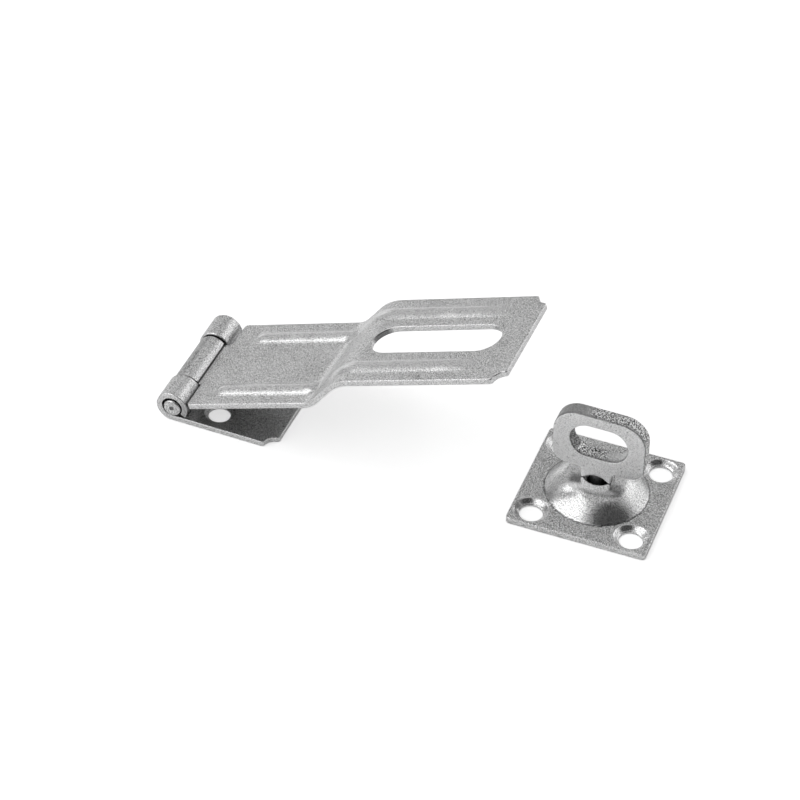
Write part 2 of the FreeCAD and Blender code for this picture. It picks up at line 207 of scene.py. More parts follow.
def cut_sheet(
    place, outline, s_lines, y_lines, top, bottom, roll, lower_roll, seed, creases=(), ragged=0.02 * MM
):
    """Closed mesh of a sheet that was cut out along an outline and then formed.

    s_lines and y_lines span a grid over the flat sheet, and outline(s, y) is a signed distance on it.
    The cells inside it are kept, and the points at their border are pulled on to the outline, moved in
    by the edge's rounding. top and bottom give each face's height off the middle, and place(s, y,
    height) forms the sheet. Rows of faces follow each cut edge: a quarter round, which lies out by the
    roll times its turn's sine and down by the roll times one less the cosine, the sheared wall, drawn
    in by a random way, and a quarter round again. Points close to a crease's zero line are pulled on
    to it, so that folds and rims stay crisp. Returns points, quads, and a dictionary of each point's s
    and y on the flat sheet, its side (1 on the top, -1 below, 0 between) and its share of the wall.
    """
    s, y = [a.ravel() for a in np.meshgrid(s_lines, y_lines, indexing="ij")]
    total = len(s)
    pitch = min(np.min(np.diff(s_lines)), np.min(np.diff(y_lines)))
    for crease in creases:
        near = np.abs(crease(s, y)) < CREASE_CATCH * pitch
        s, y = pulled_to(crease, s, y, near)

    def inset(a, b):
        """The outline's distance plus the edge's rounding."""
        return outline(a, b) + roll

    distance = inset(s, y)
    near = np.abs(distance) < RIM_CATCH * pitch
    s, y = pulled_to(inset, s, y, near)
    keep_point = (distance < 0) | near
    index = np.arange(total).reshape(len(s_lines), len(y_lines))
    quads = np.stack([index[:-1, :-1], index[1:, :-1], index[1:, 1:], index[:-1, 1:]], -1).reshape(-1, 4)
    quads = quads[keep_point[quads].all(1)]
    quads = quads[inset(s[quads].mean(1), y[quads].mean(1)) < LEAST_INSET]
    edges = np.concatenate([quads[:, [k, (k + 1) % 4]] for k in range(4)])
    # An edge is on the border if no cell runs along it the other way
    border = edges[~np.isin(edges @ (total, 1), edges @ (1, total))]
    used = np.unique(quads)
    new = np.full(total, -1)
    new[used] = np.arange(len(used))
    quads, border = new[quads], new[border]
    s, y = s[used], y[used]
    count = len(used)
    rim = np.unique(border)
    s, y = pulled_to(inset, s, y, rim)
    high, low = top(s, y), bottom(s, y)
    points = [place(s, y, high), place(s, y, low)]
    flat = [np.broadcast_arrays(s, y, 1.0, 0.0), np.broadcast_arrays(s, y, -1.0, 0.0)]
    gs, gy = gradient(inset, s[rim], y[rim])
    size = np.maximum(np.hypot(gs, gy), LEAST_SLOPE)
    gs, gy = gs / size, gy / size
    # Each row round the edge: how far out it lies, its height, and its share of the sheared wall
    rows_out = []
    for turn in TOP_TURNS:
        drop = roll * (1 - np.cos(turn))
        rows_out.append((roll * np.sin(turn), high[rim] - drop, ROUNDED * (turn > STEEP)))
    for share in WALL_SHARES:
        rows_out.append((roll, (high[rim] - roll) * (1 - share) + (low[rim] + lower_roll) * share, 1.0))
    for turn in UNDER_TURNS:
        out = roll - lower_roll * (1 - np.sin(turn))
        lift = lower_roll * (1 - np.cos(turn))
        rows_out.append((out, low[rim] + lift, ROUNDED + ROUNDED * (turn > STEEP)))
    bump = np.random.default_rng(seed).normal(0.0, 1.0, (len(rows_out), len(rim))) * ragged
    for number, (out, height, share) in enumerate(rows_out):
        reach = out - np.abs(bump[number]) * (share == 1.0)
        rim_s, rim_y = s[rim] + gs * reach, y[rim] + gy * reach
        points.append(place(rim_s, rim_y, height))
        flat.append(np.broadcast_arrays(rim_s, rim_y, 0.0, share))
    seat = np.full(count, -1)
    seat[rim] = np.arange(len(rim))
    levels = [2 * count + number * len(rim) + seat[border] for number in range(len(rows_out))]
    levels = [border, *levels, count + border]
    faces = [quads, quads[:, ::-1] + count]
    for over, under in zip(levels, levels[1:]):
        faces.append(np.concatenate([over[:, ::-1], under], axis=1))
    where = dict(zip(("s", "y", "side", "wall"), np.concatenate(flat, axis=1)))
    return np.concatenate(points), np.concatenate(faces), where


def moved_on(state, move, along):
    """Place and heading some way along a move that starts at a state.

    A run goes on by that way times the heading's cosine and sine. On a bend the heading grows by
    the way over the radius, and the point lies a radius from the bend's centre.
    """
    x, z, heading = state
    if move[0] == "run":
        return x + along * np.cos(heading), z + along * np.sin(heading), heading
    arm = math.copysign(move[1], move[2])
    later = heading + along / arm
    return x + arm * (np.sin(later) - np.sin(heading)), z - arm * (np.cos(later) - np.cos(heading)), later


def folded_path(start, heading, moves):
    """Middle line of a folded sheet as a function of the length s along it.

    moves are ("run", length) or ("bend", radius, angle in radians), a positive angle turning from
    +X towards +Z. Returns a function giving x, z, and the unit normal, which is the heading turned
    a quarter from +X towards +Z, and the lengths at which the moves start and the last one ends.
    """
    marks = [0.0]
    states = [(*start, heading)]
    for move in moves:
        way = move[1] if move[0] == "run" else move[1] * abs(move[2])
        states.append(moved_on(states[-1], move, way))
        marks.append(marks[-1] + way)

    def at(s):
        """Point and normal on the move that s falls in."""
        s = np.clip(s, 0.0, marks[-1] + PAST_END)
        which = np.clip(np.searchsorted(marks, s, side="right") - 1, 0, len(moves) - 1)
        x, z, turned = np.zeros((3, *s.shape))
        for number, move in enumerate(moves):
            here = which == number
            x[here], z[here], turned[here] = moved_on(states[number], move, s[here] - marks[number])
        return x, z, -np.sin(turned), np.cos(turned)

    return at, marks


def lines(marks, cell, moves=()):
    """Grid lines from the first mark to the last, about a cell apart, with a line on every mark.

    Stretches whose move is a bend are divided twice as closely.
    """
    pieces = []
    for number, (a, b) in enumerate(zip(marks, marks[1:])):
        close = 2 if moves and moves[number][0] == "bend" else 1
        steps = max(1, int(math.ceil((b - a) / cell * close)))
        pieces.append(np.linspace(a, b, steps + 1)[:-1])
    return np.concatenate(pieces + [[marks[-1]]])


def bead_height(along, across, start, end, width, height, start_blend, end_blend):
    """Height of a pressed bead: the height times a cosine back across times its rise and its fall.

    The rise and the fall are quarter circles over their blends, from none at the bead's ends.
    """
    half = width / 2
    back = np.cos(np.clip(across / half, -1, 1) * math.pi / 2)
    rise = np.clip((along - start) / start_blend, 0, 1)
    fall = np.clip((end - along) / end_blend, 0, 1)
    rise = np.sqrt(1 - (1 - rise) ** 2)
    fall = np.sqrt(1 - (1 - fall) ** 2)
    return height * back * rise * fall


def lathe(profile, centre, axis, segments):
    """Surface of revolution about an upright axis or one along Y.

    A point lies out by the radius times the turn's cosine and sine, and along by the height.
    """
    turn = np.linspace(0, 2 * math.pi, segments, endpoint=False)
    radius = np.array([p[0] for p in profile])
    height = np.array([p[1] for p in profile])
    a = radius[:, None] * np.cos(turn)[None, :]
    b = radius[:, None] * np.sin(turn)[None, :]
    h = np.repeat(height[:, None], segments, 1)
    if axis == "Y":
        points = np.stack([centre[0] + a, centre[1] + h, centre[2] - b], -1)
    else:
        points = np.stack([centre[0] + a, centre[1] + b, centre[2] + h], -1)
    rows = len(profile)
    index = np.arange(rows * segments).reshape(rows, segments)
    ahead = np.roll(index, -1, 1)
    quads = np.stack([index[:-1], ahead[:-1], ahead[1:], index[1:]], -1).reshape(-1, 4)
    return points.reshape(-1, 3), quads


def rounded_profile(corners, rolls, steps=4):
    """Profile through corner points of (radius, height), each rounded from a roll before to a roll after.

    The curve is the corner plus the way back times the roll times (1 - t) squared, plus the way on
    times the roll times t squared.
    """
    out = [corners[0]]
    for before, here, after, roll in zip(corners, corners[1:], corners[2:], rolls):
        p, q, r = np.array(before), np.array(here), np.array(after)
        u, v = (p - q) / np.linalg.norm(p - q), (r - q) / np.linalg.norm(r - q)
        for t in np.linspace(0, 1, steps + 1):
            bend = q + u * roll * (1 - t) ** 2 + v * roll * t**2
            out.append(tuple(bend))
    out.append(corners[-1])
    return out


def oriented(mesh):
    """Merges doubled points, then turns every face outwards by the sign of the enclosed volume."""
    work = bmesh.new()
    work.from_mesh(mesh)
    bmesh.ops.remove_doubles(work, verts=work.verts, dist=DOUBLES)
    if work.calc_volume(signed=True) < 0:
        bmesh.ops.reverse_faces(work, faces=work.faces)
    work.to_mesh(mesh)
    work.free()


def make_piece(name, node, material, points, faces, **marks):
    """Smooth mesh at the origin, with each mark's value at every point, in its node's place and body."""
    mesh = bpy.data.meshes.new(name)
    mesh.from_pydata(points.tolist(), [], faces.tolist())
    for mark, values in marks.items():
        layer = mesh.attributes.new(mark, "FLOAT", "POINT")
        layer.data.foreach_set("value", values.astype(np.float32))
    mesh.polygons.foreach_set("use_smooth", np.ones(len(mesh.polygons), bool))
    mesh.update()
    oriented(mesh)
    mesh.materials.append(material)
    piece = bpy.data.objects.new(name, mesh)
    bpy.context.scene.collection.objects.link(piece)
    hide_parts(node)
    body = next(b for b, nodes in frame["record"]["behaviour"]["bodies"].items() if node in nodes)
    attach(piece, body)


def about(centre, turn, points):
    """Points turned about the upright axis by x cos - y sin and x sin + y cos, then moved to a centre."""
    c, s = math.cos(turn), math.sin(turn)
    return points @ np.array([[c, s, 0], [-s, c, 0], [0, 0, 1]]) + centre


# Zinc plate

# Each noise: repeats per millimetre, detail and roughness
SPECK = (4.5, 1.0, 0.6)
GRIT = (1.2, 1.0, 0.5)
CLOUD = (0.16, 3.0, 0.55)
SPOTS = (2.7, 1.0, 0.6)
STREAKS = (1.0, 3.0, 0.65)
STREAK_STRETCH = (2.8, 0.35, 2.8)
NOISE_TURN = (0.5, 0.4, 0.7)

# The stretch of each noise over which it runs, and how far it then changes tone or roughness
SPECK_SPAN = (0.41, 0.59)
SPECK_TONE = 0.5
GRIT_SPAN = (0.35, 0.65)
GRIT_TONE = 0.04
CLOUD_SPAN = (0.3, 0.7)
CLOUD_GLOSS = 0.04
CLOUD_DULL = 0.05

# Each ramp: the stretch of a noise or a mark over which it runs, then what it gives at both ends
PITS = (0.67, 0.74, 0.0, 0.5)
CLOUD_TONE = (0.3, 0.7, -0.05, 0.05)
TORN_TONE = (0.45, 0.56, -1.1, 0.8)
STREAK_DARK = (0.5, 0.66, 0.0, 0.45)
BURNISHED_CALM = (0.0, 1.0, 1.0, 0.5)
# Painted shade: the mark dims the colour, down to the last share at its full strength
PAINTED_SHADE_DIMMING = (0.0, 1.0, 1.0, 0.06)
SPECK_DULL = (0.35, 0.65, -0.05, 0.05)
BURNISHED_GLOSS = (0.0, 0.7, 0.0, 0.19)
BURNISHED_SMOOTH = (0.7, 1.0, 1.0, 0.3)

# Painted sheen: how much the polish mark lightens the colour, on top of its smoother finish
BURNISHED_LIGHT = 0.14
TONE_LEAST = 0.03
TONE_MOST = 1.4
TORN_DULL = 0.1
LEAST_ROUGHNESS = 0.12
GRIT_RELIEF = 0.2
TORN_RELIEF = 2.5
RELIEF_STRENGTH = 0.6
RELIEF_DEPTH = 0.045 * MM


RANGE_ENDS = ("From Min", "From Max", "To Min", "To Max")


def fill(node, **values):
    """Gives a node's inputs their values by name."""
    for name, value in values.items():
        node.inputs[name].default_value = value
    return node


class Field:
    """A number that a shader works out at each point, with sums and products as nodes of its tree."""

    def __init__(self, tree, socket):
        self.tree = tree
        self.socket = socket

    def into(self, socket):
        """Links the field to a node's input."""
        self.tree.links.new(self.socket, socket)

    def reckoned(self, operation, other):
        """One arithmetic step with another field or with a number."""
        node = self.tree.nodes.new("ShaderNodeMath")
        node.operation = operation
        self.into(node.inputs[0])
        if isinstance(other, Field):
            other.into(node.inputs[1])
        else:
            node.inputs[1].default_value = other
        return Field(self.tree, node.outputs[0])

    def __add__(self, other):
        return self.reckoned("ADD", other)

    def __sub__(self, other):
        return self.reckoned("SUBTRACT", other)

    def __mul__(self, other):
        return self.reckoned("MULTIPLY", other)

    def ranged(self, *ends):
        """The field carried in proportion from the first two ends to the last two, and held there."""
        node = fill(self.tree.nodes.new("ShaderNodeMapRange"), **dict(zip(RANGE_ENDS, ends)))
        self.into(node.inputs["Value"])
        return Field(self.tree, node.outputs["Result"])


def noise_field(tree, where, kind, stretch=(1.0, 1.0, 1.0)):
    """Noise of a kind, which repeats about so many times a millimetre, stretched along the object's axes.

    The pattern itself is turned, so that no flat face lies along its grid.
    """
    scale, detail, roughness = kind
    scales = [scale * PER_MM * k for k in stretch]
    mapping = fill(tree.nodes.new("ShaderNodeMapping"), Scale=scales, Rotation=NOISE_TURN)
    noise = tree.nodes.new("ShaderNodeTexNoise")
    fill(noise, Scale=1.0, Detail=detail, Roughness=roughness)
    tree.links.new(where, mapping.inputs["Vector"])
    tree.links.new(mapping.outputs["Vector"], noise.inputs["Vector"])
    return Field(tree, noise.outputs["Fac"])


def mark_field(tree, mark):
    """What the mesh's points carry under the mark's name, or 0."""
    reader = tree.nodes.new("ShaderNodeAttribute")
    reader.attribute_name = mark
    return Field(tree, reader.outputs["Fac"])


def zinc_plate(name, satin=0.38, grain=1.0, painted_brightness=1.0):
    """Satin zinc: the settings' colour times a tone about 1, with its own roughness and fine relief.

    The colour is scaled by a painted brightness factor. The tone is speck and grit less pits, calmed where
    polish is marked, plus cloud, spots where torn and a painted sheen where polish is marked, less streaks
    where rolled, all brought down by the painted shade that a point carries. The roughness is satin,
    changed by cloud and speck, more where torn and less where polish is marked. The relief is speck and a
    share of grit, less where polish is marked, and spots where torn.
    """
    finish = bpy.context.scene.hasp_finish
    material = bpy.data.materials.new(name)
    material.use_nodes = True
    tree = material.node_tree
    shader = fill(tree.nodes["Principled BSDF"], Metallic=1.0)
    where = tree.nodes.new("ShaderNodeTexCoord").outputs["Object"]
    speck, grit, cloud, spots = (noise_field(tree, where, kind) for kind in (SPECK, GRIT, CLOUD, SPOTS))
    streaks = noise_field(tree, where, STREAKS, STREAK_STRETCH)
    # Marks on the mesh: torn edges, rolling streaks, polish that also carries a painted sheen, and painted
    # shade
    torn, rolled, burnished, recess = (
        mark_field(tree, mark) for mark in ("torn", "rolled", "burnished", "recess")
    )
    strength = finish.grain * grain
    speck_tone, grit_tone = SPECK_TONE * strength, GRIT_TONE * strength
    tone = speck.ranged(*SPECK_SPAN, -speck_tone, speck_tone)
    tone = tone + grit.ranged(*GRIT_SPAN, -grit_tone, grit_tone) - grit.ranged(*PITS)
    tone = tone * burnished.ranged(*BURNISHED_CALM) + cloud.ranged(*CLOUD_TONE)
    # The polish mark also lightens the colour, a painted sheen
    tone = tone + torn * spots.ranged(*TORN_TONE) + burnished * BURNISHED_LIGHT
    tone = tone + 1.0 - rolled * streaks.ranged(*STREAK_DARK)
    # Painted shade darkens the colour where a point carries it
    tone = tone * recess.ranged(*PAINTED_SHADE_DIMMING)
    tone = tone.reckoned("MAXIMUM", TONE_LEAST).reckoned("MINIMUM", TONE_MOST)
    shade = tree.nodes.new("ShaderNodeVectorMath")
    shade.operation = "SCALE"
    # The colour is raised by the piece's painted brightness factor
    shade.inputs[0].default_value = [painted_brightness * channel for channel in finish.zinc]
    tone.into(shade.inputs["Scale"])
    tree.links.new(shade.outputs["Vector"], shader.inputs["Base Color"])
    dull = cloud.ranged(*CLOUD_SPAN, satin - CLOUD_GLOSS, satin + CLOUD_DULL) + speck.ranged(*SPECK_DULL)
    dull = dull + torn * TORN_DULL - burnished.ranged(*BURNISHED_GLOSS)
    dull.reckoned("MAXIMUM", LEAST_ROUGHNESS).into(shader.inputs["Roughness"])
    relief = (speck + grit * GRIT_RELIEF) * burnished.ranged(*BURNISHED_SMOOTH)
    relief = relief + torn * (spots * TORN_RELIEF)
    bump = fill(tree.nodes.new("ShaderNodeBump"), Strength=RELIEF_STRENGTH, Distance=RELIEF_DEPTH)
    relief.into(bump.inputs["Height"])
    tree.links.new(bump.outputs["Normal"], shader.inputs["Normal"])
    return material


# Pieces

THREE_QUARTERS = math.radians(270)

STRAP_LENGTH = 106 * MM
STRAP_RISE = 0.35 * MM
THROAT = 1.2 * MM
ROLL_STOP = math.radians(18.0)
JOGGLE_HEIGHT = 7.27 * MM
JOGGLE_ANGLE = math.radians(35.0)
JOGGLE_SKEW = 1.4 * MM
SKEW_CLEAR = 2 * MM
SKEW_FADE = 10 * MM
LOWER_BEND = 8 * MM
UPPER_BEND = 12 * MM
SLOT_TO_END = 7.8 * MM
SLOT_LENGTH = 39.1 * MM
SLOT_WIDTH = 11.9 * MM
JOGGLE_TO_SLOT = 0.2 * MM
BEAD_OFFSET = 12.3 * MM
BEAD_WIDTH = 5.9 * MM
BEAD_HEIGHT = 0.92 * MM
UPPER_BEAD_HEIGHT = 0.6 * MM
BEAD_END = BEAD_WIDTH / 2
LOWER_BEAD_EASE = 0.7 * BEAD_WIDTH
UPPER_BEAD_EASE = 2 * BEAD_WIDTH
LOWER_BEAD_FROM_PIN = 12.2 * MM
LOWER_BEAD_TO_JOGGLE = -2 * MM
FAR_BEAD_REACH = 0.9 * MM
FAR_BEAD_SHIFT = 1.4 * MM
UPPER_BEAD_TO_END = 10 * MM
UPPER_BEAD_SLOPE = 6.4 * MM
FAR_CORNER = 0.8 * MM
NEAR_CORNER = 0.4 * MM
NEAR_GAP = 0.3 * MM
TONGUE_FILLET = 1.2 * MM

LEAF_LENGTH = 31.5 * MM
PIN_DROP = 0.33 * MM
ROLL_GAP = 0.2 * MM
KNUCKLE_GAP = 0.35 * MM
NOTCH_CORNER = 0.8 * MM
LEAF_HOLE = 3.1 * MM
LEAF_SINK = 4.3 * MM
LEAF_SINK_DEPTH = 1.2 * MM
LEAF_HOLES = ((11.65 * MM, 12.3 * MM), (11.65 * MM, -12.3 * MM), (23.6 * MM, 0.0))

PIN_MARK = 0.75 * MM
PIN_MARK_DEPTH = 0.8 * PIN_MARK
PIN_MARK_LIP = 0.1 * MM
PIN_FACE = 0.8
PIN_CHAMFER = 0.4 * MM
PIN_ROLLS = (0.2 * MM, 0.3 * MM, 0.3 * MM, 0.3 * MM, 0.3 * MM, 0.2 * MM)

PLATE_CORNER = 1.3 * MM
PLATE_HOLE_STEP = 14.3 * MM
PLATE_HOLE = 3.25 * MM
PLATE_SINK = 4.9 * MM
PLATE_SINK_DEPTH = 1.5 * MM
DOME_RADIUS = 14.6 * MM
DOME_TOP = 7.5 * MM
DOME_FOOT = 0.7 * MM
LAND_RADIUS = 7.2 * MM
LAND_EDGE = 1.3 * MM
DOME_SHEET = 1.9 * MM
SHANK_HOLE = 2.36 * MM
LAND_SINK = 3.95 * MM
LAND_SINK_DEPTH = 1.25 * MM

EYE_HALF_WIDTH = 13.1 * MM
EYE_TOP = 29.45 * MM
EYE_BOTTOM = 11.1 * MM
EYE_TOP_CORNER = 7 * MM
EYE_BOTTOM_CORNER = 4.3 * MM
EYE_HOLE_LENGTH = 16.5 * MM
EYE_HOLE_HEIGHT = 10.7 * MM
EYE_HOLE_CENTRE = 20.65 * MM
NECK_HALF_WIDTH = 4.5 * MM
NECK_FOOT = 7.55 * MM
NECK_FILLET = 1.6 * MM
NECK_OVERLAP = 2 * MM
ARCH_HALF_WIDTH = 3.3 * MM
ARCH_HEIGHT = 1.41 * MM
SHANK = 2.3 * MM
SHANK_TOP = NECK_FOOT + 2.4 * MM
RIVET = 3.7 * MM
RIVET_HEIGHT = 1.2 * MM
RIVET_ROLLS = (0.9 * MM, 0.1 * MM, 0.05 * MM, 0.1 * MM)
WASHER_PLAY = 0.08 * MM
WASHER_SEAM = 0.5 * MM
WASHER_ROLLS = (0.1 * MM, 0.15 * MM, 0.25 * MM, 0.1 * MM)
TURNED_SEGMENTS = 96
SHANK_SEGMENTS = 72

# Sheared edges: rounding on the top and on the underside, the eye's ragged wall, and tight corners
STRAP_UNDER_ROLL = 0.16 * MM
LEAF_ROLLS = (0.26 * MM, 0.18 * MM)
PLATE_ROLLS = (0.3 * MM, 0.12 * MM)
EYE_ROLLS = (0.35 * MM, 0.3 * MM)
EYE_RAGGED = 0.05 * MM
SHEAR_CORNER = 0.2 * MM

# Marks that run along a roll: shares of the roll, then the mark at each
KNUCKLE_STREAKS = ((0.0, 0.1, 0.8, 0.86), (0.0, 1.0, 1.0, 0.4))
# Painted shade over most of the strap's knuckle
KNUCKLE_SHADE = ((0.0, 0.1, 0.79, 0.83), (0.0, 0.33, 0.33, 0.0))
# Painted shade on the side of the leaf's knuckles that faces the strap
LEAF_ROLL_SHADE = ((0.73, 0.78), (0.0, 0.35))
KNUCKLE_LIP = 0.88
# Painted highlight with a little wear polish: a lighter band along the top of the leaf's knuckles, its
# middle share and width
WEAR_SHEEN_LINE = 0.685
WEAR_SHEEN_WIDTH = 0.035

# Other marks: how far they reach, and how strong they are
# Painted shade on the cut wall round the slot's end nearer the hinge, on its far half
SLOT_END_SHADE = ((2.6 * MM, 4.2 * MM), (0.75, 0.0))
SLOT_WALL = 0.4 * MM
FOLD_REACH = 4 * MM
# Painted sheen with polish along the joggle's fold
FOLD_SHINE = 0.7
CREST_GAIN = 4
WALL_SHINE = 0.6
# Polish on the knuckle's lip, which also lightens it as a painted sheen
LIP_SHINE = 0.2
# Painted shade on the strap's cut walls past the throat, in the gaps by its knuckle
WALL_DARK = 0.8
WALL_DARK_FROM = 1 * MM
# Painted shade on the leaf's upper face, which lies under the strap: in its roll, then on its flat
LEAF_ROLL_DARK = 0.6
LEAF_FLAT_DARK = 0.46
LEAF_STREAKS = 0.6
LEAF_STREAKS_EASE = 2 * MM
# Strength of the leaf's painted highlight band
LEAF_WEAR_SHEEN = 0.45
PIN_SHINE = 0.25
# Painted shade in the pin's centre mark
PIN_MARK_DARK = 0.8
PIN_MARK_INSIDE = 0.95
DOME_SHINE = 0.7
SINK_SHINE = 0.8
SINK_SHINE_PAST = 0.05 * MM
RIM_CLEAR = 0.1 * MM
# Painted shade in a thin line round the dome's foot
GROOVE_DARK = 0.93
GROOVE_HALF_WIDTH = 0.2 * MM
# Painted shade in the countersink seat round the shank, and on the shank and rivet
SEAT_DARK = 0.9
HOLE_SHARE = 0.56
HOLE_TORN_FROM = 3 * MM
HOLE_TORN_FADE = 2 * MM
RIM_TORN_FROM = -5 * MM
RIM_TORN_FADE = 4 * MM
HOLE_SHADED_FROM = -6 * MM
# Painted shade on the eye's walls: the hole's wall, more on its left, the rim's wall, more where smooth,
# and a line on the rounded edges
HOLE_DARK = 0.25
HOLE_SIDE_DARK = 0.5
RIM_DARK = 0.15
RIM_SMOOTH_DARK = 0.45
EDGE_DARK = 0.7


def edge_shine(where):
    """Polish from wear, with a painted sheen, at each point of a cut sheet: its rounded edges most, its
    walls less.
    """
    return np.where(where["wall"] == ROUNDED, 1.0, WALL_SHINE * where["wall"])


def sink(distance, rim, hole, depth):
    """Depth of a countersink: none at its rim, all of it at the hole, in proportion between."""
    return np.clip((rim - distance) / (rim - hole), 0, 1) * depth


class HASP_OT_strap(Operator):
    """Make the hinged strap: rolled knuckle, beads, joggle, slot and scooped end"""

    bl_idname = "hasp.strap"
    bl_label = "Strap"

    def execute(self, context):
        size = context.scene.hasp_sheets
        roll = size.strap_bore + size.sheet / 2
        reach = roll + THROAT
        throat = math.acos((THROAT - STRAP_RISE) / reach)
        sine, cosine = math.sin(JOGGLE_ANGLE), math.cos(JOGGLE_ANGLE)
        slope = (JOGGLE_HEIGHT - (LOWER_BEND + UPPER_BEND) * (1 - cosine)) / sine
        joggle_end = STRAP_LENGTH - SLOT_TO_END - SLOT_LENGTH - JOGGLE_TO_SLOT
        joggle_start = joggle_end - (LOWER_BEND + UPPER_BEND) * sine - slope * cosine
        moves = [
            ("run", STRAP_LENGTH - joggle_end),
            ("bend", UPPER_BEND, JOGGLE_ANGLE),
            ("run", slope),
            ("bend", LOWER_BEND, -JOGGLE_ANGLE),
            ("run", joggle_start - reach * math.sin(throat)),
            ("bend", THROAT, throat),
            ("bend", roll, -(THREE_QUARTERS + throat - ROLL_STOP)),
        ]
        path, marks = folded_path((STRAP_LENGTH, STRAP_RISE + JOGGLE_HEIGHT), math.pi, moves)
        slope_start, slope_end, flat_start, throat_start, roll_start, roll_end = marks[2:]
        pin_s = flat_start + joggle_start
        half = size.width / 2

        def outline(s, y):
            """Plate joined with the knuckle's tongue by a fillet, less the slot and the scoops."""
            cut_s = pin_s - np.where(y > 0, size.far_cutback, size.near_cutback)
            corner = np.where(y > 0, FAR_CORNER, NEAR_CORNER)
            plate = rounded_box(s - cut_s / 2, y, cut_s / 2, half, corner)
            middle = (pin_s - 2 * size.far_cutback + roll_end) / 2
            gap = NEAR_GAP / 2
            tongue_half = size.knuckle / 2 - gap
            tongue = rounded_box(s - middle, y - gap, roll_end - middle, tongue_half, SHEAR_CORNER)
            body = -smooth_max(-plate, -tongue, blend=TONGUE_FILLET)
            slot = stadium(s, y, SLOT_TO_END, SLOT_TO_END + SLOT_LENGTH, SLOT_WIDTH)
            scoop = disc(s, np.abs(y), 0.0, half, size.scallop)
            return smooth_max(body, -slot, -scoop)

        def skew(s, y):
            """The skew times the share of the width from the near edge, faded out by the throat."""
            fade = np.clip((throat_start - SKEW_CLEAR - s) / SKEW_FADE, 0, 1)
            return JOGGLE_SKEW * (y / size.width + 0.5) * fade

        def bead(s, y):
            """Sum of the lower and the upper bead on each side, with ends that follow the skew."""
            across = np.abs(y) - BEAD_OFFSET
            start = flat_start + (LOWER_BEAD_TO_JOGGLE - np.where(y > 0, FAR_BEAD_REACH, 0.0)) - skew(s, y)
            end = pin_s - LOWER_BEAD_FROM_PIN - np.where(y > 0, FAR_BEAD_SHIFT, 0.0)
            low = bead_height(s, across, start, end, BEAD_WIDTH, BEAD_HEIGHT, LOWER_BEAD_EASE, BEAD_END)
            end = slope_start + UPPER_BEAD_SLOPE - skew(s, y)
            high = bead_height(
                s, across, UPPER_BEAD_TO_END, end, BEAD_WIDTH, UPPER_BEAD_HEIGHT, UPPER_BEAD_EASE, BEAD_END
            )
            return low + high

        def place(s, y, height):
            """Middle line less its normal times the height, shifted by the skew and turned open."""
            moved = skew(s, y)
            x, z, nx, nz = path(s + moved)
            x, z = x + moved - nx * height, z - nz * height
            c, k = math.cos(size.open_angle), math.sin(size.open_angle)
            return np.stack([PIN[0] + x * c - z * k, PIN[1] + y, PIN[2] + x * k + z * c], -1)

        across = [-half, -BEAD_OFFSET, -size.knuckle / 2, 0.0, size.knuckle / 2, BEAD_OFFSET, half]
        points, quads, where = cut_sheet(
            place, outline, lines(marks, size.cell, moves), lines(across, size.cell),
            lambda s, y: size.sheet / 2 + bead(s, y),
            lambda s, y: -size.sheet / 2 + bead(s, y),
            size.edge_roll, STRAP_UNDER_ROLL, seed=3,
        )
        s, y, wall = where["s"], where["y"], where["wall"]
        turned = np.clip((s - roll_start) / (roll_end - roll_start), 0, 1)
        rolled = np.interp(turned, *KNUCKLE_STREAKS)
        # Painted shade on the slot's end wall nearer the hinge
        to_end = np.abs(s - SLOT_TO_END - SLOT_LENGTH)
        slot_end = np.interp(to_end, *SLOT_END_SHADE) * np.clip(y / MM, 0, 1)
        slot_end = slot_end * (wall > 0) * (y < SLOT_WIDTH / 2 + SLOT_WALL)
        # Painted shade on the knuckle's end walls, joined with that at the slot's end
        recess = np.maximum(WALL_DARK * (wall > 0) * (s > throat_start + WALL_DARK_FROM), slot_end)
        # Painted shade over most of the knuckle's roll
        recess = np.maximum(recess, np.interp(turned, *KNUCKLE_SHADE))
        # Bead crests, a band along the joggle's fold and the knuckle's lip are marked as polished, which
        # also lightens them as a painted sheen
        crest = np.clip(CREST_GAIN * bead(s, y) / BEAD_HEIGHT, 0, 1)
        fold = np.clip(1 - np.abs(s + skew(s, y) - (slope_end + flat_start) / 2) / FOLD_REACH, 0, 1)
        burnished = np.maximum(edge_shine(where), np.maximum(crest, FOLD_SHINE * fold))
        burnished = np.maximum(burnished, LIP_SHINE * (turned > KNUCKLE_LIP))
        make_piece(
            "strap", "hasp_strap", zinc_plate("strap_zinc"), points, quads,
            rolled=rolled, burnished=burnished, recess=recess,
        )
        return {"FINISHED"}


